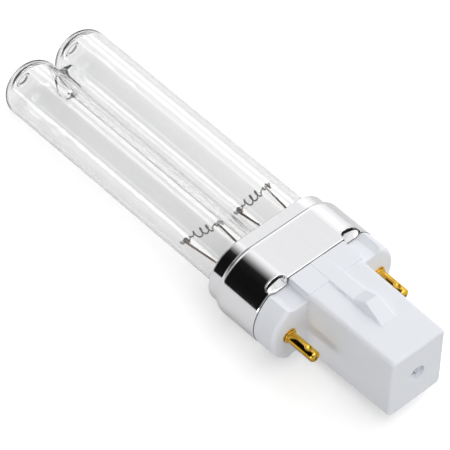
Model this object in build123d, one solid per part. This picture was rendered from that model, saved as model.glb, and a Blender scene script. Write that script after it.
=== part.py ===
from build123d import *
import os
from math import cos, pi, radians, sin, sqrt, tan

# Two-pin ultraviolet lamp: two parallel clear tubes joined by a glass bridge, in a crimped metal cap
# on a moulded base whose post holds the starter.  Sizes are in millimetres.
# Stations run along X from the seating plane, X = 0: the pins and the post point to +X, the glass to -X.
# Y runs across the two pins and the lamp's own axis is at Z = 0.  At the end the lamp is moved so that
# it lies on Z = 0, on its lower latch, with its middle over the origin.

# Glass
tube_diameter = 12.24
tube_gap = 0.56
glass_wall = 0.9
glass_reach = 82.8
glass_end_wall = 1.0
glass_end_round = 3.5
bridge_inset = 7.1
bridge_diameter = 6.2
bridge_flare_radius = 2.4
bridge_flare_reach = 1.8
dimple_radius = 2.4
dimple_depth = 0.35
foot_depth = 0.5
foot_taper = 4.0
press_width = 10.0
press_thickness = 3.4
press_length = 3.4

# Drawn metal shell with a stepped collar
collar_room = 1.38
collar_inset = 0.92
collar_height = 3.0
collar_rim_round = 0.45
cap_stretch = 1.7
shell_wall = 0.3
shell_height = 10.65
shell_step_round = 0.55
shell_lower_gap = 0.1
crimp_length = 1.2

# Shoulder of the base: a slot shape with four grooves that leave a block as wide as the post
shoulder_inset = 0.12
shoulder_length = 5.3
shoulder_end_round = 0.95
block_rise = 0.455
block_edge_round = 0.3
block_front_round = 0.25
seat_wall = 2.0
groove_depth = 2.15
groove_width = 3.5
groove_ramp = 23.0
groove_overrun = 0.5
skirt_wall = 1.2
skirt_end_gap = 0.25
pin_boss_diameter = 4.6
pin_boss_length = 1.2

# Post, with moulding draft from the seating plane to its free end
post_width = 13.4
post_draft = 0.5
post_edge_round = 0.95
post_end_round = 0.65
post_wall = 1.3
post_end_wall = 1.6
gate_radius = 1.9
gate_depth = 0.9
gate_nub_radius = 0.55
gate_nub_height = 0.45

# Latch strip and wedge on both broad sides of the post
latch_half_width = 1.85
latch_side_draft = 9.5
latch_proud = 0.1
latch_height = 1.7
latch_rise_station = 6.2
latch_rise_length = 3.2
latch_fall_length = 4.8
latch_end_lip = 0.12
latch_edge_round = 0.25

# Contact pins
pin_spacing = 23.0
pin_diameter = 2.35
pin_reach = 7.4
pin_tail = 4.0
pin_tip_round = 0.7
pin_flange_diameter = 3.15
pin_flange_thickness = 0.55
pin_flange_round = 0.2
pin_flange_seat = 0.1
pin_crimp_station = 5.2
pin_crimp_radius = 0.9
pin_crimp_depth = 0.45

# Electrodes and lead wires, with flats on the wires in place of a full round
wire_flats = 6
lead_diameter = 0.55
lead_bend = 1.2
mount_length = 15.2
clamp_offset = 4.05
press_lead_offset = 2.6
hook_tail = 2.2
filament_diameter = 0.28
filament_end = 0.6
coil_radius = 1.0
coil_pitch = 1.3
coil_turns = 3

# Starter, capacitor and their wires in the post
starter_diameter = 8.0
starter_length = 14.5
starter_round = 2.4
starter_room = 0.5
starter_end_room = 1.4
starter_foot_width = 5.0
starter_foot_thickness = 2.0
starter_foot_length = 2.6
starter_lead_offset = 1.6
starter_lead_run = 1.8
capacitor_width = 8.0
capacitor_thickness = 3.2
capacitor_length = 7.0
capacitor_round = 1.0
capacitor_lead_offset = 2.5
capacitor_lead_run = 4.6
thin_lead_diameter = 0.5
thin_lead_bend = 0.7
ferrule_room = 1.3
ferrule_front = 0.4
ferrule_length = 3.6
ferrule_wall = 0.3

# Room between pieces that slide together, and between wires and what holds them
fit_clearance = 0.05
wire_clearance = 0.02

# Sections that follow from the sizes above
tube_radius = tube_diameter / 2
tube_y = (tube_diameter + tube_gap) / 2
collar_radius = tube_radius + collar_room
shell_radius = collar_radius + collar_inset
shoulder_radius = shell_radius - shoulder_inset
skirt_radius = shell_radius - shell_wall - fit_clearance
cap_spacing = 2 * tube_y + cap_stretch
groove_floor = shoulder_radius - groove_depth
pin_y = pin_spacing / 2

# Stations that follow from the sizes above
shell_low = -(shoulder_length + shell_lower_gap)
shell_step = shell_low - shell_height
collar_top = shell_step - collar_height
skirt_back = shell_step + shell_wall + skirt_end_gap
foot_top = skirt_back + foot_depth
neck_end = foot_top + foot_taper
press_end = neck_end + press_length
electrode_station = foot_top - mount_length
starter_foot_start = ferrule_front + starter_lead_run
starter_start = starter_foot_start + starter_foot_length
starter_end = starter_start + starter_length
capacitor_start = ferrule_front + capacitor_lead_run
capacitor_end = capacitor_start + capacitor_length
post_length = starter_end + starter_end_room + post_end_wall
latch_peak_station = latch_rise_station + latch_rise_length
latch_end_station = latch_peak_station + latch_fall_length

# The post is sized round the starter and the capacitor
post_slope = tan(radians(post_draft))
cavity_thickness = starter_diameter + capacitor_thickness + 3 * starter_room
post_thickness = cavity_thickness + 2 * post_wall
seat_width = post_width + 2 * post_length * post_slope
seat_thickness = post_thickness + 2 * post_length * post_slope
starter_height = (cavity_thickness - starter_diameter) / 2 - starter_room
capacitor_height = (capacitor_thickness - cavity_thickness) / 2 + starter_room
block_half_width = seat_width / 2
block_top = seat_thickness / 2 + block_rise
latch_peak_height = block_top + latch_height

# Wires
hook_width = lead_diameter + filament_diameter + 2 * wire_clearance
ferrule_seat_radius = (max(lead_diameter, thin_lead_diameter) + 2 * wire_clearance) / sqrt(3)
ferrule_bore = 2 * (ferrule_seat_radius + wire_clearance) + max(lead_diameter, thin_lead_diameter)
ferrule_diameter = ferrule_bore + 2 * ferrule_wall
ferrule_y = seat_width / 2 - post_wall - ferrule_room - ferrule_diameter / 2

# Two stations closer than this are the same, and cuts run past a face by the overrun
same_station = 1e-4
overrun = 0.2


def stadium(radius, spacing=cap_spacing):
    """Slot-shaped section of the cap, lying along Y."""
    return SlotCenterToCenter(spacing, 2 * radius)


def prism(section, start, end):
    """Solid with one section between two stations along the lamp."""
    return extrude(Plane.YZ.offset(start) * section, end - start)


def rod(diameter, start, end, y=0.0):
    """Round bar along the lamp."""
    return prism(Pos(y, 0) * Circle(diameter / 2), start, end)


def edges_at(solid, station):
    """Edges that lie wholly in the plane at one station."""
    found = ShapeList()
    for edge in solid.edges():
        box = edge.bounding_box()
        if max(abs(box.min.X - station), abs(box.max.X - station)) < same_station:
            found.append(edge)
    return found


def wire(points, diameter, bends):
    """Fine wire along straight runs joined by tangent arcs."""
    path = FilletPolyline(*points, radius=bends)
    section = RegularPolygon(diameter / 2, wire_flats)
    return sweep(Plane(origin=path @ 0, z_dir=path % 0) * section, path=path)


def glass_tube(side, inset, start, end_round):
    """One tube with its free end rounded, drawn in by an inset."""
    tube = rod(tube_diameter - 2 * inset, start, foot_top, side * tube_y)
    return fillet(edges_at(tube, start), end_round)


def glass_bridge(inset):
    """Waisted cross tube between the two tubes, flared where it runs into them."""
    waist = bridge_diameter / 2 - inset
    flare = bridge_flare_radius + inset
    rim = waist + flare - sqrt(flare**2 - bridge_flare_reach**2)
    outline = Polyline(
        (bridge_flare_reach, rim),
        (tube_y, rim),
        (tube_y, 0),
        (-tube_y, 0),
        (-tube_y, rim),
        (-bridge_flare_reach, rim),
    )
    neck = ThreePointArc((-bridge_flare_reach, rim), (0, waist), (bridge_flare_reach, rim))
    spool = revolve(make_face([*outline.edges(), neck]), Axis.X)
    return Pos(bridge_inset - glass_reach, 0, 0) * Rot(0, 0, 90) * spool


def glass_foot(side):
    """Flattened seal that closes the lower end of one tube round its two lead wires."""
    place = Pos(side * tube_y, 0)
    flat = place * SlotOverall(press_width, press_thickness)
    round_end = Plane.YZ.offset(foot_top) * (place * Circle(tube_radius))
    return loft([round_end, Plane.YZ.offset(neck_end) * flat]) + prism(flat, neck_end, press_end)


def glass_envelope():
    """Clear envelope, fused into one piece: tubes, bridge and the two flattened seals."""
    outside = glass_bridge(0)
    inside = glass_bridge(glass_wall)
    for side in (-1, 1):
        outside += glass_tube(side, 0, -glass_reach, glass_end_round) + glass_foot(side)
        inside += glass_tube(side, glass_wall, glass_end_wall - glass_reach, glass_end_round - glass_wall)
    body = outside - inside
    melt_mark = Rot(0, 90, 0) * Sphere(dimple_radius)
    for side in (-1, 1):
        body -= Pos(dimple_depth - dimple_radius - glass_reach, side * tube_y, 0) * melt_mark
        for offset in (-press_lead_offset, press_lead_offset):
            body -= rod(lead_diameter, foot_top - overrun, press_end, side * tube_y + offset)
    return body


def four_corners():
    """Signs of the four grooves and crimps."""
    return [(side_y, side_z) for side_y in (-1, 1) for side_z in (-1, 1)]


def groove_section(inset, side_y, side_z):
    """Section of one groove beside the block, drawn in from the groove's walls by an inset."""
    slope = tan(radians(groove_ramp))
    inner = block_half_width + inset
    floor = groove_floor + inset
    turn = block_half_width + groove_width - inset * tan(radians(groove_ramp / 2))
    outer = cap_spacing / 2 + 2 * shell_radius
    top = 2 * shell_radius
    outline = [
        (inner, floor),
        (turn, floor),
        (outer, floor + (outer - turn) * slope),
        (outer, top),
        (inner, top),
    ]
    return make_face(Polyline(*[(side_y * y, side_z * z) for y, z in outline], close=True))


def pressed_crimp(inset, side_y, side_z):
    """Space above one crimp: the groove's section carried back and up past the shell's flat side."""
    climb = Vector(-crimp_length, 0, side_z * (shell_radius - groove_floor))
    start = Location(-overrun * climb.normalized())
    section = Plane.YZ.offset(shell_low) * groove_section(inset, side_y, side_z)
    return extrude(section.moved(start), 2 * climb.length, dir=climb)


def shell_form(inset):
    """Closed form of the shell, drawn in from its outside by an inset."""
    body = prism(stadium(shell_radius - inset), shell_step + inset, shell_low)
    body = fillet(edges_at(body, shell_step + inset), shell_step_round - inset)
    collar = prism(stadium(collar_radius - inset), collar_top + inset, shell_low)
    return body + fillet(edges_at(collar, collar_top + inset), collar_rim_round - inset / 2)


def cap_shell():
    """Drawn aluminium shell: body, step, collar with a turned-in rim, and four crimps."""
    outside = shell_form(0)
    inside = shell_form(shell_wall)
    for side_y, side_z in four_corners():
        outside -= pressed_crimp(fit_clearance + shell_wall, side_y, side_z)
        inside -= pressed_crimp(fit_clearance, side_y, side_z)
    opening = stadium(tube_radius + fit_clearance, 2 * tube_y)
    return outside - inside - prism(opening, collar_top - overrun, collar_top + shell_wall + overrun)


def basing_cement():
    """Ring of cement that holds the tubes in the collar and sits on the end of the skirt."""
    top = collar_top + shell_wall + fit_clearance
    ring = prism(stadium(collar_radius - shell_wall - fit_clearance), top, skirt_back)
    ring = fillet(edges_at(ring, top), collar_rim_round)
    flange = stadium(skirt_radius - shell_step_round)
    ring += prism(flange, shell_step + shell_wall + fit_clearance, skirt_back)
    for side in (-1, 1):
        ring -= rod(tube_diameter, collar_top, skirt_back, side * tube_y)
    return ring


def latch_strip(side):
    """Retaining strip on one broad side: level along the block, a wedge, then a slope to the post."""
    level = block_top + latch_proud
    sunk = seat_thickness / 2 - post_wall / 2
    end_height = seat_thickness / 2 - latch_end_station * post_slope + latch_end_lip
    profile = [
        (-shoulder_length, sunk),
        (-shoulder_length, level),
        (latch_rise_station, level),
        (latch_peak_station, latch_peak_height),
        (latch_end_station, end_height),
        (latch_end_station, sunk),
    ]
    side_view = make_face(Polyline(*[(x, side * z) for x, z in profile], close=True))
    strip = extrude(Plane.XZ * side_view, 2 * latch_half_width, both=True)
    lean = tan(radians(latch_side_draft))
    root_half = latch_half_width + (seat_thickness / 2 - sunk) * lean
    peak_half = latch_half_width - (latch_peak_height - seat_thickness / 2) * lean
    front_view = [
        (-root_half, side * sunk),
        (root_half, side * sunk),
        (peak_half, side * latch_peak_height),
        (-peak_half, side * latch_peak_height),
    ]
    strip &= prism(make_face(Polyline(*front_view, close=True)), -shoulder_length, latch_end_station)
    ridges = edges_at(strip, latch_peak_station)
    for edge in strip.edges():
        box = edge.bounding_box()
        low = min(abs(box.min.Z), abs(box.max.Z))
        if low > sunk + same_station and box.size.X > same_station:
            ridges.append(edge)
    return fillet(ridges, latch_edge_round)


def drafted_post(inset, start, end):
    """Tapered rectangular form of the post between two stations, drawn in by an inset."""
    sections = []
    for station in (start, end):
        grow = 2 * (post_length - station) * post_slope - 2 * inset
        outline = RectangleRounded(post_width + grow, post_thickness + grow, post_edge_round - inset / 2)
        sections.append(Plane.YZ.offset(station) * outline)
    return loft(sections)


def base_hollow():
    """Inside of the skirt and shoulder, with walls kept under the four grooves and round the pins."""
    hollow = prism(stadium(skirt_radius - skirt_wall), skirt_back, -seat_wall)
    groove_back = -(shoulder_length + crimp_length + groove_overrun)
    for side_y, side_z in four_corners():
        hollow -= prism(groove_section(-skirt_wall, side_y, side_z), groove_back - skirt_wall, 0)
    for side in (-1, 1):
        hollow -= rod(pin_boss_diameter, -seat_wall - pin_boss_length, 0, side * pin_y)
    return hollow


def base_moulding():
    """One-piece moulding: skirt, grooved shoulder, hollow post and the two latch strips."""
    shoulder = prism(stadium(shoulder_radius), -shoulder_length, 0)
    body = fillet(edges_at(shoulder, 0), shoulder_end_round)
    body += prism(stadium(skirt_radius), skirt_back, -shoulder_length)
    groove_back = -(shoulder_length + crimp_length + groove_overrun)
    for side_y, side_z in four_corners():
        body -= prism(groove_section(0, side_y, side_z), groove_back, overrun)
    block = RectangleRounded(2 * block_half_width, 2 * block_top, block_edge_round)
    block = prism(block, -shoulder_length, 0)
    body += fillet(edges_at(block, 0), block_front_round)
    post = drafted_post(0, -seat_wall, post_length)
    body += fillet(edges_at(post, post_length), post_end_round)
    for side in (-1, 1):
        body += latch_strip(side)
    body -= base_hollow()
    body -= drafted_post(post_wall, -seat_wall - overrun, post_length - post_end_wall)
    for side in (-1, 1):
        body -= rod(pin_diameter, skirt_back, overrun, side * pin_y)
        body -= rod(pin_flange_diameter + 2 * fit_clearance, -pin_flange_seat, overrun, side * pin_y)
    gate_floor = post_length - gate_depth
    body -= rod(2 * gate_radius, gate_floor, post_length + overrun)
    return body + rod(2 * gate_nub_radius, gate_floor, gate_floor + gate_nub_height)


def contact_pin(side):
    """Hollow brass pin with a root flange, a rounded tip and a crimp dimple above and below."""
    pin = rod(pin_diameter, -pin_tail, pin_reach)
    pin = fillet(edges_at(pin, pin_reach), pin_tip_round)
    flange = rod(pin_flange_diameter, -pin_flange_seat, pin_flange_thickness)
    pin += fillet(edges_at(flange, pin_flange_thickness), pin_flange_round)
    pin -= rod(lead_diameter + 2 * wire_clearance, -pin_tail, pin_reach)
    reach = pin_diameter / 2 - pin_crimp_depth + pin_crimp_radius
    for up in (-1, 1):
        pin -= Pos(pin_crimp_station, 0, up * reach) * Sphere(pin_crimp_radius)
    return Pos(0, side * pin_y, 0) * pin


def ferrule_point(station, side, seat):
    """Point on one wire's line through a ferrule: seat 0 lamp lead, 1 capacitor lead, 2 starter lead."""
    turn = pi / 2 + seat * 2 * pi / 3
    across = ferrule_y - ferrule_seat_radius * cos(turn)
    return (station, side * across, ferrule_seat_radius * sin(turn))


def lamp_lead(side, outward):
    """Lead wire from the hook that clamps the filament, through the glass seal, to a pin or a ferrule."""
    clamp_y = side * (tube_y + outward * clamp_offset)
    press_y = side * (tube_y + outward * press_lead_offset)
    if outward > 0:
        ends = [(-pin_tail - lead_bend / 2, side * pin_y, 0), (pin_reach - wire_clearance, side * pin_y, 0)]
    else:
        ends = [ferrule_point(station, side, 0) for station in (ferrule_front - ferrule_length, ferrule_front)]
    points = [
        (electrode_station + hook_tail, clamp_y, hook_width),
        (electrode_station, clamp_y, hook_width),
        (electrode_station, clamp_y, 0),
        (foot_top - foot_taper / 2, press_y, 0),
        (press_end + lead_bend / 2, press_y, 0),
    ]
    hook_bend = 0.49 * hook_width
    return wire(points + ends, lead_diameter, [hook_bend, hook_bend, lead_bend, lead_bend, lead_bend])


def filament(side):
    """Open tungsten coil with a straight leg through the hook at each end."""
    station = electrode_station + lead_diameter / 2 + filament_diameter / 2 + wire_clearance
    height = hook_width / 2
    middle = side * tube_y
    points = [(station, middle - clamp_offset - filament_end, height)]
    for quarter in range(4 * coil_turns + 1):
        turn = quarter * pi / 2
        across = middle + coil_pitch * (quarter / 4 - coil_turns / 2)
        points.append((station - coil_radius * sin(turn), across, height + coil_radius * (1 - cos(turn))))
    points.append((station, middle + clamp_offset + filament_end, height))
    quarter_run = sqrt(2 * coil_radius**2 + (coil_pitch / 4) ** 2)
    return wire(points, filament_diameter, 0.42 * quarter_run)


def starter_bulb():
    """Sealed glow starter: a rounded glass bulb on a flattened foot that carries its two leads."""
    bulb = rod(starter_diameter, starter_start, starter_end)
    bulb = fillet(edges_at(bulb, starter_start) + edges_at(bulb, starter_end), starter_round)
    foot = SlotOverall(starter_foot_width, starter_foot_thickness)
    bulb += prism(foot, starter_foot_start, starter_start + starter_round)
    for side in (-1, 1):
        bulb -= rod(thin_lead_diameter, starter_foot_start, starter_start, side * starter_lead_offset)
    return Pos(0, 0, starter_height) * bulb


def starter_lead(side):
    """Wire from a ferrule into the foot of the starter bulb."""
    points = [
        ferrule_point(ferrule_front - ferrule_length, side, 2),
        ferrule_point(ferrule_front + thin_lead_bend, side, 2),
        (starter_foot_start - thin_lead_bend, side * starter_lead_offset, starter_height),
        (starter_start, side * starter_lead_offset, starter_height),
    ]
    return wire(points, thin_lead_diameter, thin_lead_bend)


def starter_capacitor():
    """Radio-noise capacitor beside the starter, as a dipped block."""
    section = RectangleRounded(capacitor_width, capacitor_thickness, capacitor_round)
    block = prism(section, capacitor_start, capacitor_end)
    block = chamfer(edges_at(block, capacitor_start) + edges_at(block, capacitor_end), capacitor_round / 2)
    for side in (-1, 1):
        lead_end = capacitor_start + capacitor_round
        block -= rod(thin_lead_diameter, capacitor_start, lead_end, side * capacitor_lead_offset)
    return Pos(0, 0, capacitor_height) * block


def capacitor_lead(side):
    """Wire from a ferrule into the capacitor."""
    points = [
        ferrule_point(ferrule_front - ferrule_length, side, 1),
        ferrule_point(ferrule_front + thin_lead_bend, side, 1),
        (capacitor_start - thin_lead_bend, side * capacitor_lead_offset, capacitor_height),
        (capacitor_start + capacitor_round, side * capacitor_lead_offset, capacitor_height),
    ]
    return wire(points, thin_lead_diameter, thin_lead_bend)


def crimp_ferrule(side):
    """Small metal tube crimped round the three wires of one side."""
    tube = rod(ferrule_diameter, ferrule_front - ferrule_length, ferrule_front, side * ferrule_y)
    return tube - rod(ferrule_bore, ferrule_front - ferrule_length, ferrule_front, side * ferrule_y)


def build_pieces():
    """Every piece of the lamp by its name, at lamp stations."""
    pieces = {
        "glass_envelope": glass_envelope(),
        "cap_shell": cap_shell(),
        "basing_cement": basing_cement(),
        "base_moulding": base_moulding(),
        "starter_bulb": starter_bulb(),
        "starter_capacitor": starter_capacitor(),
    }
    for side, word in ((-1, "left"), (1, "right")):
        pieces[f"contact_pin_{word}"] = contact_pin(side)
        pieces[f"filament_{word}"] = filament(side)
        pieces[f"outer_lead_{word}"] = lamp_lead(side, 1)
        pieces[f"inner_lead_{word}"] = lamp_lead(side, -1)
        pieces[f"starter_lead_{word}"] = starter_lead(side)
        pieces[f"capacitor_lead_{word}"] = capacitor_lead(side)
        pieces[f"crimp_ferrule_{word}"] = crimp_ferrule(side)
    return pieces


def main():
    """Lays the lamp on Z = 0 over the origin and writes each piece."""
    os.makedirs("parts", exist_ok=True)
    pieces = build_pieces()
    lowest = pieces["base_moulding"].bounding_box().min.Z
    place = Location(((glass_reach - post_length) / 2, 0, -lowest))
    for name, piece in pieces.items():
        export_step(piece.moved(place), f"parts/{name}.step")


if __name__ == "__main__":
    main()
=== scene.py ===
# %% [markdown]
# # A two-pin ultraviolet lamp
# The lamp is two clear glass tubes in a crimped metal cap on a white moulded base.  The measured solids
# come in first as a fixed frame, in metres.  Every piece made below is drawn in millimetres along the
# lamp and lands in that frame at the end, so nothing has to be fitted by eye.

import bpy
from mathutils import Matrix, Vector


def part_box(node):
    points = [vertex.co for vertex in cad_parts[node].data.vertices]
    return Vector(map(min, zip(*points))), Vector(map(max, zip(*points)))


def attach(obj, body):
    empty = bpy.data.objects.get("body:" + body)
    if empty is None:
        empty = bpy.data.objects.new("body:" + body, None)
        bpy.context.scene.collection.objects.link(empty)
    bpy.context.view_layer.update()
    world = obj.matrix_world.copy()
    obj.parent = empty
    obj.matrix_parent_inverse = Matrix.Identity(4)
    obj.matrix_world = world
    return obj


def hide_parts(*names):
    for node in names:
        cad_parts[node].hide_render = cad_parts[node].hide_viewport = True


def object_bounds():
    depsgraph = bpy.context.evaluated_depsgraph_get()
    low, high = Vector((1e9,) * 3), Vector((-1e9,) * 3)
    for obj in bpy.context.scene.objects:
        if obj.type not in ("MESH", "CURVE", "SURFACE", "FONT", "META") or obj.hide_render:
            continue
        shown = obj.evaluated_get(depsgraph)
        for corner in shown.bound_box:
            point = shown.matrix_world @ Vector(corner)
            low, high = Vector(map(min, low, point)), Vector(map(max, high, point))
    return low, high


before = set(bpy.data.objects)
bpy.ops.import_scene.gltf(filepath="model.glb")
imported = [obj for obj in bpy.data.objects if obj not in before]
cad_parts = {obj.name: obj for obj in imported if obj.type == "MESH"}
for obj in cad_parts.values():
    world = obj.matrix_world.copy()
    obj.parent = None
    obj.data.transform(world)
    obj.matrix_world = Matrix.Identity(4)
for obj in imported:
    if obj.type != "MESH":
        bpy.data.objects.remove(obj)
measured_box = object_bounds()
measured_sides = [round(side * 1000, 1) for side in measured_box[1] - measured_box[0]]
print("nodes", len(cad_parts), "box", measured_sides)

# %% [markdown]
# ## Lamp millimetres
# The drawing's zero is the seating plane: the pins and the post point to +X and the glass to -X, with the
# lamp's axis at Z = 0.  One matrix takes that drawing to the frame.  The pins give the height of the axis.

# %% From lamp millimetres to the frame
from math import asin, atan2, cos, degrees, hypot, pi, radians, sin, sqrt, tan
from random import Random

import bmesh
import bpy
from mathutils import Matrix, Vector
from mathutils.noise import noise_vector, seed_set

MM = 0.001
SEAT_X = 30.25
pin_low, pin_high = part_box("contact_pin_left")
AXIS_Z = (pin_low.z + pin_high.z) / 2 / MM
LAMP_TO_FRAME = Matrix.Scale(MM, 4) @ Matrix.Translation((SEAT_X, 0, AXIS_Z))
print("axis height", round(AXIS_Z, 3), "mm")

# %% [markdown]
# ## Shader maths as plain expressions
# A finish is easier to read as a sum than as a web of nodes.  `Value` wraps one socket, so that
# `1 - mask * 0.5` adds the Math nodes by itself.  Every node comes from `Graph.node`, which sets the node's
# own settings first and then its sockets, by value or by link.


# %% A socket that can be used in a sum
class Value:
    """One socket in a node graph, for use in expressions."""

    def __init__(self, graph, socket):
        self.graph = graph
        self.socket = socket

    def __add__(self, other):
        return self.graph.math("ADD", self, other)

    def __radd__(self, other):
        return self.graph.math("ADD", other, self)

    def __sub__(self, other):
        return self.graph.math("SUBTRACT", self, other)

    def __rsub__(self, other):
        return self.graph.math("SUBTRACT", other, self)

    def __mul__(self, other):
        return self.graph.math("MULTIPLY", self, other)

    def __rmul__(self, other):
        return self.graph.math("MULTIPLY", other, self)

    def __abs__(self):
        return self.graph.math("ABSOLUTE", self)


# %% [markdown]
# The graph keeps one node tree.  A socket is named by its label, or by its number where a node has several
# with one label.  A light path tells what kind of ray is asking, so the floor and the sky can show one
# thing to the camera and another to the glass.


# %% A graph with one way to add a node
class Graph:
    """A node tree that is filled by one method."""

    def __init__(self, tree):
        self.tree = tree
        tree.nodes.clear()

    def node(self, kind, settings=None, sockets=None, output=0):
        node = self.tree.nodes.new(kind)
        for name, setting in (settings or {}).items():
            setattr(node, name, setting)
        for name, given in (sockets or {}).items():
            if isinstance(given, Value):
                self.tree.links.new(given.socket, node.inputs[name])
            else:
                node.inputs[name].default_value = given
        return Value(self, node.outputs[output]) if node.outputs else node

    def math(self, operation, *sockets):
        """One step of arithmetic."""
        return self.node("ShaderNodeMath", {"operation": operation}, dict(enumerate(sockets)))

    def ray(self, question):
        """What the light path says of the ray that is asking."""
        return self.node("ShaderNodeLightPath", output=question)

    def between(self, value, low, high, start=0.0, end=1.0):
        """Value carried smoothly from one range to another, and held beyond it."""
        sockets = {"Value": value, "From Min": low, "From Max": high, "To Min": start, "To Max": end}
        return self.node("ShaderNodeMapRange", {"interpolation_type": "SMOOTHSTEP"}, sockets)

    def mixed(self, share, first, second):
        """One colour turning into another."""
        sockets = {0: share, 6: first, 7: second}
        return self.node("ShaderNodeMix", {"data_type": "RGBA"}, sockets, 2)


def grey(level):
    """Opaque grey of one level."""
    return (level, level, level, 1)


print("graph ready")

# %% [markdown]
# ## The camera
# The photograph was taken from far off with a long lens, a little above the lamp and beside its post.  The
# place, the small roll and the lens were found by laying the measured lamp over the picture.

# %% Camera
EYE = Vector((0.340717, -0.332235, 0.548897))
RIGHT = Vector((0.67487, 0.73741, 0.02794))
UP = Vector((-0.56719, 0.49412, 0.65889))
FORWARD = Vector((-0.47207, 0.46052, -0.75172))
FIELD_OF_VIEW = 6.8516

lens = bpy.data.cameras.new("photo_camera")
lens.sensor_width = 36.0
lens.lens = lens.sensor_width / 2 / tan(radians(FIELD_OF_VIEW / 2))
lens.clip_start = 0.01
camera = bpy.data.objects.new("photo_camera", lens)
bpy.context.scene.collection.objects.link(camera)
aim = Matrix((RIGHT, UP, -FORWARD)).transposed().to_4x4()
camera.matrix_world = Matrix.Translation(EYE) @ aim
bpy.context.scene.camera = camera
print("lens", round(lens.lens, 1), "mm")

# %% [markdown]
# ## The floor
# The lamp lies on its lower latch and on the ends of its tubes, so it leans by a couple of degrees.  The
# lamp stays where it was measured, and the floor leans instead.

# %% Floor
LATCH_X = 0.03965
TUBE_END_X = -0.0492
TUBE_END_Z = 0.00380
FLOOR_SIZE = 3.0

bm = bmesh.new()
bmesh.ops.create_grid(bm, x_segments=1, y_segments=1, size=FLOOR_SIZE)
lean = atan2(TUBE_END_Z, LATCH_X - TUBE_END_X)
bmesh.ops.rotate(bm, verts=bm.verts, matrix=Matrix.Rotation(lean, 3, "Y"))
bmesh.ops.translate(bm, verts=bm.verts, vec=(LATCH_X, 0, 0))
floor_mesh = bpy.data.meshes.new("floor")
bm.to_mesh(floor_mesh)
bm.free()
floor = bpy.data.objects.new("floor", floor_mesh)
bpy.context.scene.collection.objects.link(floor)
print("floor leans", round(degrees(lean), 2), "degrees")

# %% [markdown]
# The floor is a pale sheet of paper, and a glow for the rays that look at it lifts it to paper white and
# keeps the shadow.  A black card lies on it beyond the tubes, outside the picture, as is usual for glass:
# the round ends show it as thin dark arcs.  The camera itself sees white there.

# %% Paper and card
CARD_EDGE_X = (-0.066, -0.080)
CARD_EDGE_Y = (0.06, 0.04)
CARD_LEVEL = 0.02
CARD_GLOW = 0.98
PAPER_LEVELS = (0.71, 0.74)
PAPER_GRAIN = 900.0
PAPER_GLOW = 0.43
PAPER_GLOW_IN_GLASS = 0.19
PAPER_GLOW_IN_METAL = 0.03

paper = bpy.data.materials.new("white_paper")
paper.use_nodes = True
graph = Graph(paper.node_tree)
spot = graph.node("ShaderNodeTexCoord", output="Object")
spot_x = graph.node("ShaderNodeSeparateXYZ", None, {0: spot}, "X")
spot_y = graph.node("ShaderNodeSeparateXYZ", None, {0: spot}, "Y")
on_paper = 1 - graph.between(spot_x, *CARD_EDGE_X) * graph.between(abs(spot_y), *CARD_EDGE_Y)
to_camera = graph.ray("Is Camera Ray") * (CARD_GLOW - (CARD_GLOW - PAPER_GLOW) * on_paper)
to_glass = graph.ray("Is Transmission Ray") * PAPER_GLOW_IN_GLASS
to_metal = graph.ray("Is Glossy Ray") * PAPER_GLOW_IN_METAL
seen = to_camera + on_paper * (to_glass + to_metal)
grain = graph.node("ShaderNodeTexNoise", None, {"Vector": spot, "Scale": PAPER_GRAIN, "Detail": 2.0})
pale = graph.mixed(grain, grey(PAPER_LEVELS[0]), grey(PAPER_LEVELS[1]))
sheet_colour = graph.mixed(on_paper, grey(CARD_LEVEL), pale)
sheet = graph.node("ShaderNodeBsdfDiffuse", None, {"Color": sheet_colour})
glow = graph.node("ShaderNodeEmission", None, {"Strength": seen})
surface = graph.node("ShaderNodeAddShader", None, {0: sheet, 1: glow})
graph.node("ShaderNodeOutputMaterial", None, {"Surface": surface})
floor_mesh.materials.append(paper)
print("paper nodes", len(paper.node_tree.nodes))

# %% [markdown]
# ## The studio
# Glass and polished metal are drawn by what they reflect.  Every tube, pin and wall of this lamp runs along
# X, so its reflections go round the X axis: what stood round the lamp can be read off the near and far ends
# of the metal cap, angle by angle.  All of it is painted on the sky by the angle round the lamp's axis, and
# by how far a ray points along it.  The masks below are the brushes for that.

# %% Masks on the sky
world = bpy.data.worlds.new("studio")
bpy.context.scene.world = world
world.use_nodes = True
sky = Graph(world.node_tree)
direction = sky.node("ShaderNodeTexCoord", output="Generated")


def along(axis):
    """How far the direction of a ray points along an axis."""
    return sky.node("ShaderNodeVectorMath", {"operation": "DOT_PRODUCT"}, {0: direction, 1: axis}, 1)


length = along((1, 0, 0))
turn = sky.math("ARCTAN2", along((0, 0, 1)), along((0, 1, 0)))


def fade(start, end):
    """Mask that grows from one angle to another, in degrees: 0 is the far side, 90 overhead, 180 near."""
    return sky.between(turn, radians(start), radians(end))


def band(low, high, soft):
    """Mask between two angles, in degrees."""
    return fade(low - soft, low + soft) * fade(high + soft, high - soft)


def reach(low, high, soft):
    """Mask between two places along the axis, from -1 at the tubes' end to 1 at the post's end."""
    return sky.between(length, low - soft, low + soft) * sky.between(length, high + soft, high - soft)


def chosen(ray, yes, no):
    """One value for a kind of ray and another for the rest."""
    return yes * ray + no * (1 - ray)


print("mask nodes", len(world.node_tree.nodes))

# %% [markdown]
# The picture shows a white tent, greyer on its near and far sides, with a soft box on the far side, a key
# light overhead and a small fill light low on the near side, which casts the near pin's shadow on the post.
# The tent is open on the near left, where the room is black, and at its end beyond the tubes.  Mirrors and
# glass see the open end, each to its own width, and the soft light on the plastic leaves it out.

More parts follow.
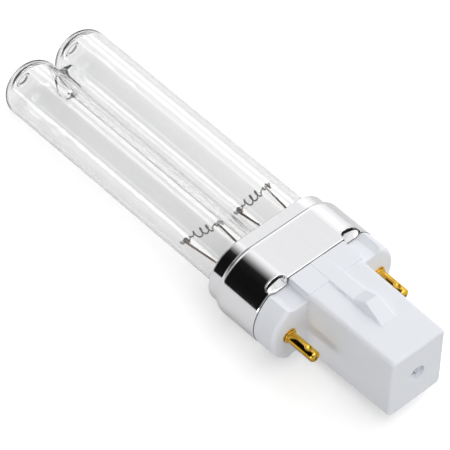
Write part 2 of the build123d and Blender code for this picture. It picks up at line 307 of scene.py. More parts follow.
# %% Tent, lights and openings
TENT_LEVEL = 0.99
TENT_FALL = 0.12
TENT_FOLD = 0.16
NEAR_SHADE = 0.58
FAR_SHADE = 0.16
SOFT_BOX = 0.3
KEY_LIGHT = 1.12
FILL_LIGHT = 9.0
ROOM_SHADE = 0.99
END_SHADE = 0.8
END_IN_GLASS = (-0.54, -0.68)
END_IN_METAL = (-0.78, -0.86)

soft_ray = sky.ray("Is Diffuse Ray")
mirror_ray = sky.ray("Is Singular Ray")
far_side = fade(22.0, 2.0) * fade(-90.0, -60.0)
tent = TENT_LEVEL - TENT_FALL * length - TENT_FOLD * band(54.0, 61.0, 4.0)
tent = tent - NEAR_SHADE * fade(95.0, 130.0) - FAR_SHADE * far_side
soft_box = SOFT_BOX * band(27.0, 43.0, 4.0) * reach(-0.9, 0.3, 0.1)
key_light = KEY_LIGHT * band(60.0, 120.0, 8.0) * reach(-0.15, 0.65, 0.1)
fill_light = FILL_LIGHT * band(168.0, 177.0, 2.0) * reach(-0.28, 0.12, 0.05)
dark_reach = chosen(soft_ray, reach(-0.85, -0.1, 0.1), reach(-0.64, -0.1, 0.08))
dark_room = fade(63.0, 104.0) * dark_reach
open_end = chosen(mirror_ray, sky.between(length, *END_IN_GLASS), sky.between(length, *END_IN_METAL))
open_end = open_end * (1 - soft_ray)
studio = (tent + soft_box) * (1 - ROOM_SHADE * dark_room) * (1 - END_SHADE * open_end)
studio = studio + key_light + fill_light
print("light nodes", len(world.node_tree.nodes))

# %% [markdown]
# The long white lines on the tubes are narrow strips of light with darker gaps between them.  Only the
# polished glass is smooth enough to draw them, so they are given to perfectly sharp reflections alone, and
# only to the first few, which also keeps the picture quiet.  The camera itself sees plain white.

# %% Strips in the glass
STRIPS = ((7.0, 50.0, 54.5), (4.5, 22.5, 27.0), (2.0, 80.5, 85.0), (7.5, 170.0, 174.5))
STRIP_SOFT = 0.5
GAPS = ((0.56, 59.0, 76.0), (0.46, 29.0, 46.0), (0.38, -5.0, 19.0))
GAP_SOFT = 2.0
LAST_BOUNCE = 8.5
WHITE = 1.0


def painted(bands, soft):
    """Sum of bands, each given by its level and its two angles."""
    return sum(level * band(low, high, soft) for level, low, high in bands)


undiffused = 1 - sky.math("MINIMUM", sky.ray("Diffuse Depth"), 1.0)
first_few = sky.math("LESS_THAN", sky.ray("Ray Depth"), LAST_BOUNCE)
sharp = mirror_ray * undiffused * first_few
lit = studio * (1 - sharp * painted(GAPS, GAP_SOFT)) + sharp * painted(STRIPS, STRIP_SOFT)
strength = chosen(sky.ray("Is Camera Ray"), WHITE, lit)
background = sky.node("ShaderNodeBackground", None, {"Color": grey(1), "Strength": strength})
sky.node("ShaderNodeOutputWorld", None, {"Surface": background})
bpy.context.scene.cycles.blur_glossy = 0.0
print("studio nodes", len(world.node_tree.nodes))

# %% [markdown]
# ## A pen for turned profiles
# Tubes, pins and the metal cap are all one profile carried round.  The pen draws that profile with the
# same operators as the editor: a run extrudes the last vertex, and an arc spins it about a centre.  Then
# the whole profile is spun, and the doubles at its seam and poles are merged.

# %% Profile pen
GUARD = 0.05
LONG_RUN = 8 * GUARD


class Pen:
    """Draws a profile in the X-Z plane, X along the lamp and Z outwards."""

    def __init__(self, x, z):
        self.bm = bmesh.new()
        self.tip = self.bm.verts.new((x, 0, z))

    def run(self, x, z, pieces=1):
        """Straight run to a point.  A short guard at each end of a long run keeps its shading straight."""
        start, travel = self.tip.co.copy(), Vector((x, 0, z)) - self.tip.co
        shares = {piece / pieces for piece in range(1, pieces + 1)}
        if travel.length > LONG_RUN:
            shares |= {GUARD / travel.length, 1 - GUARD / travel.length}
        for share in sorted(shares):
            self.tip = bmesh.ops.extrude_vert_indiv(self.bm, verts=[self.tip])["verts"][0]
            bmesh.ops.translate(self.bm, verts=[self.tip], vec=start + travel * share - self.tip.co)
        return self

    def arc(self, x, z, angle, pieces=8):
        """Arc about a centre: a positive angle turns from -X towards +Z."""
        made = bmesh.ops.spin(
            self.bm, geom=[self.tip], cent=(x, 0, z), axis=(0, 1, 0), angle=radians(angle), steps=pieces
        )
        self.tip = [part for part in made["geom_last"] if isinstance(part, bmesh.types.BMVert)][0]
        return self

    def spun(self, steps):
        """The profile carried round the X axis, closed where its ends meet and at its poles."""
        geom = self.bm.verts[:] + self.bm.edges[:]
        bmesh.ops.spin(
            self.bm, geom=geom, cent=(0, 0, 0), axis=(1, 0, 0), angle=2 * pi, steps=steps, use_merge=True
        )
        bmesh.ops.remove_doubles(self.bm, verts=self.bm.verts, dist=1e-5)
        bmesh.ops.recalc_face_normals(self.bm, faces=self.bm.faces)
        return self.bm


print("pen ready")

# %% [markdown]
# A finished piece sits at the origin with its place in its mesh.  It rides on the lamp's one body and
# stands for its measured solid, which is hidden.  Edges sharper than a set angle stay crisp and the rest are
# smooth.


# %% Landing a piece in the frame
def to_object(name, bm):
    """Object from a drawing that is still in lamp millimetres."""
    mesh = bpy.data.meshes.new(name)
    bm.to_mesh(mesh)
    bm.free()
    item = bpy.data.objects.new(name, mesh)
    bpy.context.scene.collection.objects.link(item)
    return item


def land(piece, node, crisp=40.0):
    """Moves a drawn piece to the frame and lets it stand for a measured solid."""
    mesh = piece.data
    mesh.transform(LAMP_TO_FRAME)
    mesh.polygons.foreach_set("use_smooth", [True] * len(mesh.polygons))
    mesh.set_sharp_from_angle(angle=radians(crisp))
    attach(piece, "root")
    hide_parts(node)
    print(piece.name, len(mesh.vertices), "vertices")
    return piece


print("landing ready")

# %% [markdown]
# ## Glass envelope
# Each tube is drawn shut at its free end, where the flame leaves a small round melt mark, and pressed flat
# on its wires at the other.  The outside is a spun profile: a shallow dish, a raised lip round it and a
# hollow skirt make the melt mark.  Its last ring is extruded and squeezed for the pressed foot.  The inside
# is a second profile, set in by the wall.

# %% Tubes
TUBE_RADIUS = 6.12
TUBE_Y = 6.4
TUBE_STEPS = 96
GLASS_WALL = 0.9
END_X = -82.515
END_ROUND = 3.5
END_FLAT = TUBE_RADIUS - END_ROUND
END_WALL = 1.0
END_PIECES = 36
MARK_X = END_X + 0.065
MARK_DISH = 2.4
MARK_LIP = (0.308, 0.167)
MARK_SKIRT = (-0.257, 0.306)
BRIDGE_X = -75.7
FINE_END = BRIDGE_X + 4.5
FINE_PIECES = 21
FOOT_TOP = -15.0
FOOT_ROUND = 0.8
FOOT_TAPER = 4.0
PRESS_LENGTH = 3.4
PRESS_HALF = (5.0, 1.7)


def tube_outside(side):
    """Outside of one tube with its melt mark and its pressed foot."""
    pen = Pen(MARK_X, 0.0)
    pen.arc(MARK_X - MARK_DISH, 0.0, -28.5, 8)
    pen.arc(pen.tip.co.x + MARK_LIP[0], pen.tip.co.z + MARK_LIP[1], 78.5, 10)
    pen.arc(pen.tip.co.x + MARK_SKIRT[0], pen.tip.co.z + MARK_SKIRT[1], -50.0, 6)
    pen.run(END_X, END_FLAT, 3)
    pen.arc(END_X + END_ROUND, END_FLAT, 90.0, END_PIECES)
    pen.run(FINE_END, TUBE_RADIUS, FINE_PIECES)
    pen.run(FOOT_TOP, TUBE_RADIUS)
    bm = pen.spun(TUBE_STEPS)
    rim = [edge for edge in bm.edges if edge.is_boundary]
    squeeze = (1, PRESS_HALF[0] / TUBE_RADIUS, PRESS_HALF[1] / TUBE_RADIUS)
    for travel, shape in ((FOOT_TAPER, squeeze), (PRESS_LENGTH, (1, 1, 1))):
        made = bmesh.ops.extrude_edge_only(bm, edges=rim)["geom"]
        ring = [part for part in made if isinstance(part, bmesh.types.BMVert)]
        bmesh.ops.translate(bm, verts=ring, vec=(travel, 0, 0))
        bmesh.ops.scale(bm, verts=ring, vec=shape)
        rim = [part for part in made if isinstance(part, bmesh.types.BMEdge)]
    bmesh.ops.edgeloop_fill(bm, edges=rim)
    bmesh.ops.recalc_face_normals(bm, faces=bm.faces)
    bmesh.ops.translate(bm, verts=bm.verts, vec=(0, side * TUBE_Y, 0))
    return bm


def tube_inside(side):
    """Inside of one tube."""
    inner = TUBE_RADIUS - GLASS_WALL
    inner_end = END_X + END_WALL
    pen = Pen(inner_end, 0.0)
    pen.run(inner_end, END_FLAT, 3)
    pen.arc(inner_end + inner - END_FLAT, END_FLAT, 90.0, END_PIECES)
    pen.run(FINE_END, inner, FINE_PIECES)
    pen.run(FOOT_TOP - FOOT_ROUND, inner)
    pen.arc(FOOT_TOP - FOOT_ROUND, inner - FOOT_ROUND, 90.0, 6)
    pen.run(FOOT_TOP, 0.0)
    bm = pen.spun(TUBE_STEPS)
    bmesh.ops.translate(bm, verts=bm.verts, vec=(0, side * TUBE_Y, 0))
    return bm


print("tube radius", TUBE_RADIUS, "wall", GLASS_WALL)

# %% [markdown]
# The bridge is blown through both walls with a flame, so its wall flows into the tubes in a soft flare.
# It is a waisted spool, turned to lie across the tubes.  The outsides are joined, the insides are joined,
# and one is cut from the other, so that the arc's path from tube to tube is really open.

# %% Bridge
BRIDGE_RADIUS = 3.1
BRIDGE_FLARE = 2.4
BRIDGE_FLARE_REACH = 1.8
BRIDGE_HALF = 4.6
BRIDGE_STEPS = 72


def bridge(inset):
    """Waisted spool across the tubes, drawn in by an inset."""
    waist = BRIDGE_RADIUS - inset
    flare = BRIDGE_FLARE + inset
    bend = asin(BRIDGE_FLARE_REACH / flare)
    rim = waist + flare * (1 - cos(bend))
    pen = Pen(-BRIDGE_HALF, 0.0)
    pen.run(-BRIDGE_HALF, rim)
    pen.run(-BRIDGE_FLARE_REACH, rim, 4)
    pen.arc(0.0, waist + flare, degrees(-2 * bend), 20)
    pen.run(BRIDGE_HALF, rim, 4)
    pen.run(BRIDGE_HALF, 0.0)
    bm = pen.spun(BRIDGE_STEPS)
    bmesh.ops.rotate(bm, verts=bm.verts, matrix=Matrix.Rotation(pi / 2, 3, "Z"))
    bmesh.ops.translate(bm, verts=bm.verts, vec=(BRIDGE_X, 0, 0))
    return bm


def combined(first, second, operation):
    """First object with a second one joined to it or cut from it."""
    tool = first.modifiers.new("combine", "BOOLEAN")
    tool.operation = operation
    tool.solver = "EXACT"
    tool.object = second
    depsgraph = bpy.context.evaluated_depsgraph_get()
    mesh = bpy.data.meshes.new_from_object(first.evaluated_get(depsgraph))
    first.modifiers.clear()
    first.data = mesh
    bpy.data.objects.remove(second)
    return first


print("bridge radius", BRIDGE_RADIUS)

# %% [markdown]
# The flame also leaves the glass between the tubes a little uneven.  A smooth noise does that here.  Its
# seed is set, so that every run gives the same glass.

# %% The joined envelope
MELT_LENGTH = 5.0
MELT_WIDTH = 3.4
MELT_GRAIN = 1.2
MELT_DEPTH = 0.2
MELT_SEED = 7

glass = to_object("glass_tubes", tube_outside(-1))
combined(glass, to_object("far_outside", tube_outside(1)), "UNION")
combined(glass, to_object("bridge_outside", bridge(0.0)), "UNION")
hollow = to_object("hollow", tube_inside(-1))
combined(hollow, to_object("far_inside", tube_inside(1)), "UNION")
combined(hollow, to_object("bridge_inside", bridge(GLASS_WALL)), "UNION")
combined(glass, hollow, "DIFFERENCE")
seed_set(MELT_SEED)
for vert in glass.data.vertices:
    melted = 1 - ((vert.co.x - BRIDGE_X) / MELT_LENGTH) ** 2 - (vert.co.y / MELT_WIDTH) ** 2
    if melted > 0:
        vert.co += noise_vector(vert.co / MELT_GRAIN) * MELT_DEPTH * melted
land(glass, "glass_envelope", 30.0)

# %% [markdown]
# ## Metal cap
# The cap is drawn from thin aluminium: a body with a rounded lip, a sloped shoulder and a narrower collar
# with a turned-in rim.  One profile goes round the slot-shaped outline: half a turn, a straight side, half a
# turn, a straight side.  A spin of no angle with a sideways step makes a straight side.

# %% Cap walls
CAP_RADIUS = 8.42
CAP_HALF = 7.25
CAP_LOW = -5.4
CAP_STEP = -16.05
CAP_WALL = 0.3
CAP_ROUND_STEPS = 144
CAP_SIDE_STEPS = 48
COLLAR_RADIUS = 7.5
COLLAR_TOP = -19.05
LIP_ROUND = 0.3
CRIMP_ROWS = 2.4
STEP_ROUND = 0.68
STEP_SLOPE = 1.36
STEP_PIECES = 12
STEP_HOLLOW = 0.22
RIM_ROUND = 0.45
RIM_OPENING = 6.17

pen = Pen(CAP_LOW, CAP_RADIUS - LIP_ROUND)
pen.arc(CAP_LOW - LIP_ROUND, CAP_RADIUS - LIP_ROUND, -90.0, 5)
pen.run(CAP_LOW - CRIMP_ROWS, CAP_RADIUS, 32)
pen.run(CAP_STEP + STEP_SLOPE, CAP_RADIUS, 4)
for piece in range(1, STEP_PIECES + 1):
    bend = pi / 2 * piece / STEP_PIECES
    pen.run(CAP_STEP + STEP_SLOPE * (1 - sin(bend)), CAP_RADIUS - STEP_ROUND * (1 - cos(bend)))
pen.run(CAP_STEP, COLLAR_RADIUS + STEP_HOLLOW)
pen.arc(CAP_STEP - STEP_HOLLOW, COLLAR_RADIUS + STEP_HOLLOW, 90.0, 5)
pen.run(COLLAR_TOP + RIM_ROUND, COLLAR_RADIUS, 3)
pen.arc(COLLAR_TOP + RIM_ROUND, COLLAR_RADIUS - RIM_ROUND, -90.0, 7)
pen.run(COLLAR_TOP, RIM_OPENING)
cap_bm = pen.bm
chain = cap_bm.verts[:] + cap_bm.edges[:]
bmesh.ops.translate(cap_bm, verts=cap_bm.verts, vec=(0, CAP_HALF, 0))
for side in (1, -1):
    half_turn = bmesh.ops.spin(
        cap_bm, geom=chain, cent=(0, side * CAP_HALF, 0), axis=(1, 0, 0), angle=-pi, steps=CAP_ROUND_STEPS
    )
    slide = (0, -side * 2 * CAP_HALF / CAP_SIDE_STEPS, 0)
    straight = bmesh.ops.spin(
        cap_bm, geom=half_turn["geom_last"], cent=(0, 0, 0), axis=(1, 0, 0), angle=0.0,
        steps=CAP_SIDE_STEPS, dvec=slide
    )
    chain = straight["geom_last"]
bmesh.ops.remove_doubles(cap_bm, verts=cap_bm.verts, dist=1e-4)
bmesh.ops.recalc_face_normals(cap_bm, faces=cap_bm.faces)
print("cap faces", len(cap_bm.faces))

# %% [markdown]
# Four crimps lock the cap to the base.  A punch shears the wall along a D-shaped line and pushes the tab
# below it into a groove of the moulding, so a slit stays open behind the tab, with a small burr beyond it.
# The vertices that the punch covers are moved down, and an attribute marks the slits and the cut lower
# edge.  The finish paints both near black: painted shade in the slits and in the gap under the edge, with
# some dark oxide on the cut metal.  The rim's opening is a little shorter than the collar, so its last ring
# is drawn in along Y, and then the wall gets its thickness.

# %% Crimps, rim and wall
GROOVE_FLOOR = 6.5
GROOVE_TURN = 10.39
GROOVE_SLOPE = tan(radians(23.0))
SCOOP_LENGTH = 1.6
SCOOP_MIDDLE = 9.6
SCOOP_HALF = 2.35
SCOOP_SQUARENESS = 4
TAB_CURVE = 1.5
SLIT_START = 0.8
SLIT_END = 1.05
SLIT_DEPTH = 0.35
SLIT_FLOOR = 0.65
BURR_HEIGHT = 0.09
BURR_END = 1.28
CUT_EDGE = 0.09
MARGIN = 0.01


def on_rim(place):
    """Whether a place is on the last ring of the turned-in rim."""
    off_centre = hypot(place.z, max(abs(place.y) - CAP_HALF, 0.0))
    return abs(place.x - COLLAR_TOP) < 1e-4 and off_centre < RIM_OPENING + MARGIN


# The attribute marks what the finish paints near black: painted shade in the slits and under the cut edge.
gap_shade_and_oxide_layer = cap_bm.verts.layers.float.new("gap_shade_and_oxide")
for vert in cap_bm.verts:
    out = abs(vert.co.y)
    back = max(CAP_LOW - vert.co.x, 0.0)
    vert[gap_shade_and_oxide_layer] = 1.0 if back < CUT_EDGE else 0.0
    if on_rim(vert.co):
        vert.co.y += (TUBE_Y - CAP_HALF) * vert.co.y / max(out, CAP_HALF)
    off_middle = abs(out - SCOOP_MIDDLE) / SCOOP_HALF
    if out < CAP_HALF + MARGIN or off_middle >= 1:
        continue
    share = back / (SCOOP_LENGTH * sqrt(1 - off_middle**SCOOP_SQUARENESS))
    drop = abs(vert.co.z) - GROOVE_FLOOR - max(out - GROOVE_TURN, 0) * GROOVE_SLOPE
    if drop <= 0:
        continue
    up = 1 if vert.co.z > 0 else -1
    if share < SLIT_START:
        rise = max(drop - SLIT_DEPTH, 0.0) * (share / SLIT_START) ** TAB_CURVE
        vert.co.z -= up * (drop - rise)
    elif share < 1:
        vert.co.z -= up * min(drop, SLIT_FLOOR)
    elif share < BURR_END:
        vert.co.z += up * BURR_HEIGHT * sin(pi * (share - 1) / (BURR_END - 1))
    if SLIT_START <= share < SLIT_END:
        vert[gap_shade_and_oxide_layer] = 1.0
bmesh.ops.solidify(cap_bm, geom=cap_bm.faces[:], thickness=CAP_WALL)
cap = land(to_object("metal_cap", cap_bm), "cap_shell", 45.0)

# %% [markdown]
# ## Contact pins
# Each pin is a thin brass tube with a double ring at its root and a round nose.  It is spun from one closed
# profile.  A crimp holds the lead wire inside: a ball pressed in from above and below, which pushes each
# vertex out of the ball along the line from its centre.

# %% Pins
PIN_Y = 11.5
PIN_RADIUS = 1.175
PIN_BORE = 0.295
PIN_BORE_EDGE = 0.06
PIN_REACH = 7.4
PIN_TAIL = -4.0
PIN_NOSE = 0.7
PIN_STEPS = 64
FLANGE_START = -0.1
FLANGE_END = 0.23
FLANGE_RADIUS = 1.6
FLANGE_ROUND = 0.15
NECK_RADIUS = 1.22
RING_START = 0.36
RING_END = 0.62
RING_RADIUS = 1.40
RING_ROUND = 0.12
RING_FOOT = 0.66
BALL_X = 5.2
BALL_RADIUS = 0.9
BALL_DEPTH = 0.45
BALL_ROWS = (4.0, 6.4)


def contact_pin(side):
    """One pin, with its root rings, nose and crimps."""
    pen = Pen(PIN_TAIL, PIN_BORE).run(PIN_TAIL, PIN_RADIUS).run(FLANGE_START, PIN_RADIUS)
    pen.run(FLANGE_START, FLANGE_RADIUS).run(FLANGE_END - FLANGE_ROUND, FLANGE_RADIUS)
    pen.arc(FLANGE_END - FLANGE_ROUND, FLANGE_RADIUS - FLANGE_ROUND, 90.0, 5)
    pen.run(FLANGE_END, NECK_RADIUS).run(RING_START, NECK_RADIUS)
    pen.run(RING_START, RING_RADIUS).run(RING_END - RING_ROUND, RING_RADIUS)
    pen.arc(RING_END - RING_ROUND, RING_RADIUS - RING_ROUND, 90.0, 4)
    pen.run(RING_FOOT, PIN_RADIUS)
    pen.run(BALL_ROWS[0], PIN_RADIUS, 4).run(BALL_ROWS[1], PIN_RADIUS, 24)
    pen.run(PIN_REACH - PIN_NOSE, PIN_RADIUS)
    pen.arc(PIN_REACH - PIN_NOSE, PIN_RADIUS - PIN_NOSE, 90.0, 8)
    pen.run(PIN_REACH, PIN_BORE + PIN_BORE_EDGE)
    pen.run(PIN_REACH - PIN_BORE_EDGE, PIN_BORE)
    pen.run(PIN_TAIL, PIN_BORE)
    bm = pen.spun(PIN_STEPS)
    for up in (1, -1):
        centre = Vector((BALL_X, 0, up * (PIN_RADIUS - BALL_DEPTH + BALL_RADIUS)))
        for vert in bm.verts:
            offset = vert.co - centre
            if offset.length < BALL_RADIUS:
                vert.co = centre + offset * (BALL_RADIUS / offset.length)
    bmesh.ops.translate(bm, verts=bm.verts, vec=(0, side * PIN_Y, 0))
    return bm


pins = []
for side, word in ((-1, "left"), (1, "right")):
    pin = to_object(f"brass_pin_{word}", contact_pin(side))
    pins.append(land(pin, f"contact_pin_{word}", 40.0))

# %% [markdown]
# ## Lead wires and coils
# The wires are springy and never quite straight, so each is a smooth curve through a few points.  The
# curve becomes a mesh with a round section.  With no radius it stays a bare line of points.


# %% Wires along curves
def curve_mesh(name, kind, points, radius, radii=None, resolution=12):
    """Mesh of a wire along a smooth curve, or of the bare curve where the radius is nothing."""
    data = bpy.data.curves.new(name, "CURVE")
    data.dimensions = "3D"
    data.resolution_u = resolution
    data.bevel_depth = radius
    data.bevel_resolution = 3
    data.use_fill_caps = True
    spline = data.splines.new(kind)
    spline.points.add(len(points) - 1)
    for place, point in zip(spline.points, points):
        place.co = (*point, 1.0)
    if radii:
        for place, swell in zip(spline.points, radii):
            place.radius = swell
    if kind == "NURBS":
        spline.order_u = 3
        spline.use_endpoint_u = True
    item = bpy.data.objects.new(name, data)
    bpy.context.scene.collection.objects.link(item)
    depsgraph = bpy.context.evaluated_depsgraph_get()
    mesh = bpy.data.meshes.new_from_object(item.evaluated_get(depsgraph))
    bpy.data.objects.remove(item)
    if radius:
        bm = bmesh.new()
        bm.from_mesh(mesh)
        bmesh.ops.remove_doubles(bm, verts=bm.verts, dist=1e-5)
        bmesh.ops.recalc_face_normals(bm, faces=bm.faces)
        bm.to_mesh(mesh)
        bm.free()
    return mesh


print("wires ready")

# %% [markdown]
# Each tube has two leads.  A lead clamps the coil with a hook, runs through the pressed foot and ends in a
# pin if it is the outer one, or in a ferrule inside the base if it is the inner one.

# %% Leads
LEAD_RADIUS = 0.22
OUTER_CLAMP_X = -29.9
INNER_CLAMP_X = -28.95
CLAMP_OUT = 4.05
NEAR_INNER_OUT = 3.6
PRESS_OUT = 2.6
HOOK_WIDTH = 0.95
HOOK_TAIL = 1.4
PRESS_END = -7.0
PIN_BEND = (-5.2, -3.5)
LEAD_END = PIN_REACH - 0.05
FERRULE_Y = 3.36
FERRULE_FRONT = 0.4
FERRULE_BACK = -3.2
FERRULE_SEAT = 0.341


def lead_wire(side, outward):
    """Lead from the hook at the coil, through the pressed foot, to a pin or to a ferrule."""
    near_inner = side < 0 and outward < 0
    clamp_x = OUTER_CLAMP_X if outward > 0 else INNER_CLAMP_X
    clamp_y = side * (TUBE_Y + outward * (NEAR_INNER_OUT if near_inner else CLAMP_OUT))
    press_y = side * (TUBE_Y + outward * PRESS_OUT)
    points = [
        (clamp_x + HOOK_TAIL, clamp_y, HOOK_WIDTH),
        (clamp_x + HOOK_WIDTH, clamp_y, HOOK_WIDTH),
        (clamp_x, clamp_y, HOOK_WIDTH),
        (clamp_x, clamp_y, 0.0),
        (clamp_x + HOOK_WIDTH, clamp_y, 0.0),
        (FOOT_TOP - FOOT_TAPER / 2, press_y, 0.0),
        (FOOT_TOP + FOOT_TAPER, press_y, 0.0),
        (PRESS_END, press_y, 0.0),
    ]
    if outward > 0:
        points += [(x, side * PIN_Y, 0.0) for x in (*PIN_BEND, LEAD_END)]
    else:
        points += [(x, side * FERRULE_Y, FERRULE_SEAT) for x in (FERRULE_BACK, FERRULE_FRONT)]
    name = f"{'outer' if outward > 0 else 'inner'}_lead_{'left' if side < 0 else 'right'}"
    piece = bpy.data.objects.new(f"wire_{name}", curve_mesh(name, "NURBS", points, LEAD_RADIUS))
    bpy.context.scene.collection.objects.link(piece)
    return land(piece, name, 60.0)


leads = [lead_wire(side, outward) for side in (-1, 1) for outward in (1, -1)]

# %% [markdown]
# The coil lies across the tube between its two hooks, a little slanted: two small knots at each hook, and
# two and a half loose open turns between them.  A seeded random number makes the turns a little uneven, as
# they are on the real lamp.  The wire is itself a fine coil, which reads as a row of beads: the curve is read
# back as points, and a second curve through them swells and thins along its length.

# %% Coils
COIL_WIRE = 0.14
BEAD_SWELL = (0.6, 1.0, 1.4, 1.0)
COIL_TURN_POINTS = 8
COIL_SECTIONS = (
    (-4.95, -4.45, 1.0, 0.30),
    (-4.35, -3.75, 0.0, 0.00),
    (-3.65, -3.10, 1.0, 0.30),
    (-2.80, -2.20, 0.0, 0.05),
    (-1.85, 1.85, 2.5, 0.85),
    (2.20, 2.80, 0.0, 0.05),
    (3.10, 3.65, 1.0, 0.30),
    (3.75, 4.35, 0.0, 0.00),
    (4.45, 4.95, 1.0, 0.30),
)
COIL_START = radians(148.0)
UNEVEN = (0.9, 1.1)
chance = Random(7)


def coil(side, word):
    """One electrode coil between the two hooks of a tube."""
    hook_x = (OUTER_CLAMP_X + INNER_CLAMP_X) / 2 + LEAD_RADIUS + COIL_WIRE
    points = []
    for start, end, turns, radius in COIL_SECTIONS:
        steps = max(1, round(turns * COIL_TURN_POINTS))
        for step in range(steps + 1):
            angle = COIL_START + 2 * pi * turns * step / steps
            wide = radius * chance.uniform(*UNEVEN)
            across = start + (end - start) * step / steps
            slant = (OUTER_CLAMP_X - INNER_CLAMP_X) / 2 * side * across / CLAMP_OUT
            if side < 0 and across > 0:
                across *= NEAR_INNER_OUT / CLAMP_OUT
            x = hook_x + slant + wide * cos(angle)
            points.append((x, side * TUBE_Y + across, HOOK_WIDTH / 2 + wide * sin(angle)))
    line = curve_mesh("coil_line", "NURBS", points, 0.0, resolution=5)
    beads = [vert.co.copy() for vert in line.vertices]
    radii = [BEAD_SWELL[index % len(BEAD_SWELL)] for index in range(len(beads))]
    mesh = curve_mesh("coil", "POLY", beads, COIL_WIRE, radii)
    piece = bpy.data.objects.new(f"coil_{word}", mesh)
    bpy.context.scene.collection.objects.link(piece)
    return land(piece, f"filament_{word}", 60.0)


coils = [coil(side, word) for side, word in ((-1, "left"), (1, "right"))]

# %% [markdown]
# ## Finishes
# Every finish starts from one shader node, and noise on the piece's own coordinates gives it the small
# unevenness that the real surface has.  Coordinates are in metres, so a scale of 1000 is a grain of about
# a millimetre.

# %% One way to make a finish
NOISE_RANGE = (0.3, 0.7)


def finish(name, shader, stretch=(1, 1, 1), scale=800.0, detail=3.0):
    """Material with a noise along the piece: the caller's function turns it into shader inputs."""
    material = bpy.data.materials.new(name)
    material.use_nodes = True
    graph = Graph(material.node_tree)
    place = graph.node("ShaderNodeTexCoord", output="Object")
    mapped = graph.node("ShaderNodeMapping", None, {"Vector": place, "Scale": stretch})
    noise = graph.node("ShaderNodeTexNoise", None, {"Vector": mapped, "Scale": scale, "Detail": detail})
    surface = graph.node("ShaderNodeBsdfPrincipled", None, shader(graph, noise))
    graph.node("ShaderNodeOutputMaterial", None, {"Surface": surface})
    return material


def worn(graph, noise, smooth, dull):
    """Roughness that follows a noise."""
    return graph.between(noise, *NOISE_RANGE, smooth, dull)


def bumped(graph, noise, strength, distance):
    """Normal that follows a noise."""
    return graph.node("ShaderNodeBump", None, {"Strength": strength, "Distance": distance, "Height": noise})


def dressed(material, *pieces):
    """Puts one material on pieces."""
    for piece in pieces:
        piece.data.materials.clear()
        piece.data.materials.append(material)
    print(material.name, "on", len(pieces))


def dress_node(material, *names):
    """Puts one material on measured solids."""
    for name in names:
        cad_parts[name].material_slots[0].material = material
    print(material.name, "on", len(names), "solids")


# %% [markdown]
# Clear glass bends light, so its look is its shape.  Drawn tube has faint lines along its length, which the
# bump follows: the noise is stretched along X.

# %% Glass finish
def clear_glass(graph, noise):
    return {
        "Base Color": graph.mixed(noise, (0.988, 0.99, 0.99, 1), (1, 1, 1, 1)),
        "Roughness": 0.0,
        "IOR": 1.49,
        "Transmission Weight": 1.0,
        "Normal": bumped(graph, noise, 0.004, 0.00005),
    }


dressed(finish("clear_glass_drawn", clear_glass, (0.001, 1, 1), 900.0, 1.0), glass)

# %% [markdown]
# The cap is bright aluminium with fine lines along the draw.  The lines change its roughness and barely
# touch its normal, so the reflections stay clean.  The slits and the cut edge that were marked are painted
# near black: painted shade in the slits and in the gap under the edge, with some dark oxide on the cut metal.

# %% Cap finish
# Level of the painted shade in the slits and under the cut edge, with the cut metal's dark oxide.
GAP_SHADE_AND_OXIDE_LEVEL = 0.02


def drawn_aluminium(graph, noise):
    # Painted shade: the marked slits and cut edge turn near black and are not metallic there.
    gap_shade_and_oxide = graph.node("ShaderNodeAttribute", {"attribute_name": "gap_shade_and_oxide"}, None, "Fac")
    bright = graph.mixed(noise, (0.88, 0.88, 0.90, 1), (0.92, 0.92, 0.93, 1))
    return {
        "Base Color": graph.mixed(gap_shade_and_oxide, bright, grey(GAP_SHADE_AND_OXIDE_LEVEL)),
        "Metallic": 1.0 - gap_shade_and_oxide,
        "Roughness": worn(graph, noise, 0.07, 0.11),
        "Normal": bumped(graph, noise, 0.04, 0.00002),
    }


dressed(finish("drawn_aluminium", drawn_aluminium, (0.05, 1, 1), 4000.0), cap)

# %% [markdown]
# The base is white polyester from a spark-eroded mould: a satin skin with a very fine grain, cool white.
# The melt came in through the small recess at the post's end, and the torn gate left a rough scar with a
# dark crack at the bottom of it.  That bottom is painted dark, broken by noise: painted shade inside the
# recess together with the crack.

# %% Plastic finish
GATE_RADIUS = 1.1
GATE_CORE = 0.8 * GATE_RADIUS
GATE_X = (0.050, 0.051)
SHADE_AND_SCAR_RANGE = (0.35, 0.65)


def satin_white(graph, noise):
    spot = graph.node("ShaderNodeTexCoord", output="Object")
    axis = (0, 0, AXIS_Z * MM)
    from_axis = graph.node("ShaderNodeVectorMath", {"operation": "SUBTRACT"}, {0: spot, 1: axis})
    flat = graph.node("ShaderNodeVectorMath", {"operation": "MULTIPLY"}, {0: from_axis, 1: (0, 1, 1)})
    off_axis = graph.node("ShaderNodeVectorMath", {"operation": "LENGTH"}, {0: flat}, 1)
    along_x = graph.node("ShaderNodeSeparateXYZ", None, {0: spot}, "X")
    in_gate = graph.between(off_axis, GATE_RADIUS * MM, GATE_CORE * MM) * graph.between(along_x, *GATE_X)
    # Painted shade in the bottom of the recess, broken by noise, with the gate's dark crack.
    recess_shade_and_scar = in_gate * graph.between(noise, *SHADE_AND_SCAR_RANGE)
    skin = graph.mixed(noise, (0.81, 0.83, 0.875, 1), (0.85, 0.87, 0.91, 1))
    return {
        "Base Color": graph.mixed(recess_shade_and_scar, skin, (0.22, 0.22, 0.23, 1)),
        "Roughness": worn(graph, noise, 0.42, 0.52),
        "Normal": bumped(graph, noise, 0.03, 0.00003),
    }


dress_node(finish("satin_white_plastic", satin_white, (1, 1, 1), 3500.0), "base_moulding")

# %% [markdown]
# The pins are bright brass with a thin film of lacquer.  The film's colour drifts a little.

# %% Brass finish
FILM_RANGE = (0.3, 0.6)


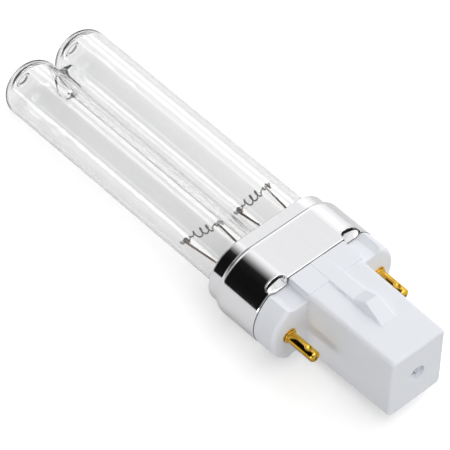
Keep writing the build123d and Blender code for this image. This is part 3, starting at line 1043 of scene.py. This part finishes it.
def bright_brass(graph, noise):
    film = graph.between(noise, *FILM_RANGE)
    return {
        "Base Color": graph.mixed(film, (0.56, 0.29, 0.03, 1), (0.84, 0.53, 0.08, 1)),
        "Metallic": 1.0,
        "Roughness": worn(graph, noise, 0.06, 0.13),
        "Normal": bumped(graph, noise, 0.06, 0.00003),
    }


dressed(finish("bright_brass", bright_brass, (0.3, 1, 1), 1300.0), *pins)

# %% [markdown]
# The coils carry a dull grey coating and the leads a brown oxide from the flame.

# %% Wire finishes
def coated_tungsten(graph, noise):
    return {
        "Base Color": graph.mixed(noise, (0.15, 0.145, 0.14, 1), (0.30, 0.29, 0.28, 1)),
        "Metallic": 0.9,
        "Roughness": worn(graph, noise, 0.22, 0.4),
    }


def oxidised_wire(graph, noise):
    return {
        "Base Color": graph.mixed(noise, (0.13, 0.10, 0.085, 1), (0.27, 0.22, 0.19, 1)),
        "Metallic": 1.0,
        "Roughness": worn(graph, noise, 0.10, 0.22),
    }


dressed(finish("coated_tungsten", coated_tungsten, (1, 1, 1), 5000.0), *coils)
dressed(finish("oxidised_wire", oxidised_wire, (1, 1, 1), 3000.0), *leads)

# %% [markdown]
# Inside the cap and the post are the cement, the starter, its capacitor and the joints of the wires.  They
# show through the collar's rim or not at all, but each has its own finish.

# %% Inner finishes
def baked_cement(graph, noise):
    return {
        "Base Color": graph.mixed(noise, (0.60, 0.57, 0.52, 1), (0.80, 0.78, 0.73, 1)),
        "Roughness": worn(graph, noise, 0.75, 0.95),
        "Normal": bumped(graph, noise, 0.3, 0.0001),
    }


def starter_glass(graph, noise):
    return {
        "Base Color": graph.mixed(noise, (0.80, 0.83, 0.83, 1), (0.95, 0.96, 0.96, 1)),
        "Roughness": worn(graph, noise, 0.02, 0.08),
        "Transmission Weight": 0.6,
    }


def dipped_coating(graph, noise):
    return {
        "Base Color": graph.mixed(noise, (0.36, 0.14, 0.04, 1), (0.52, 0.24, 0.08, 1)),
        "Roughness": worn(graph, noise, 0.15, 0.3),
        "Normal": bumped(graph, noise, 0.2, 0.0001),
    }


def tinned_copper(graph, noise):
    return {
        "Base Color": graph.mixed(noise, (0.55, 0.55, 0.53, 1), (0.75, 0.75, 0.73, 1)),
        "Metallic": 1.0,
        "Roughness": worn(graph, noise, 0.2, 0.4),
    }


def dull_brass(graph, noise):
    return {
        "Base Color": graph.mixed(noise, (0.50, 0.36, 0.15, 1), (0.70, 0.52, 0.25, 1)),
        "Metallic": 1.0,
        "Roughness": worn(graph, noise, 0.3, 0.5),
    }


dress_node(finish("baked_cement", baked_cement, (1, 1, 1), 1500.0), "basing_cement")
dress_node(finish("starter_bulb_glass", starter_glass, (1, 1, 1), 300.0), "starter_bulb")
dress_node(finish("dipped_coating", dipped_coating, (1, 1, 1), 500.0), "starter_capacitor")
for word in ("left", "right"):
    wires = finish(f"tinned_copper_{word}", tinned_copper, (1, 1, 1), 2000.0)
    dress_node(wires, f"starter_lead_{word}", f"capacitor_lead_{word}")
    ferrule = finish(f"dull_brass_{word}", dull_brass, (1, 1, 1), 1500.0)
    dress_node(ferrule, f"crimp_ferrule_{word}")

# %% [markdown]
# ## View
# The picture uses the plain view transform, so a colour comes out as it was written.  The looks must
# not outgrow the measured lamp.

# %% View transform
bpy.context.scene.view_settings.view_transform = "Standard"
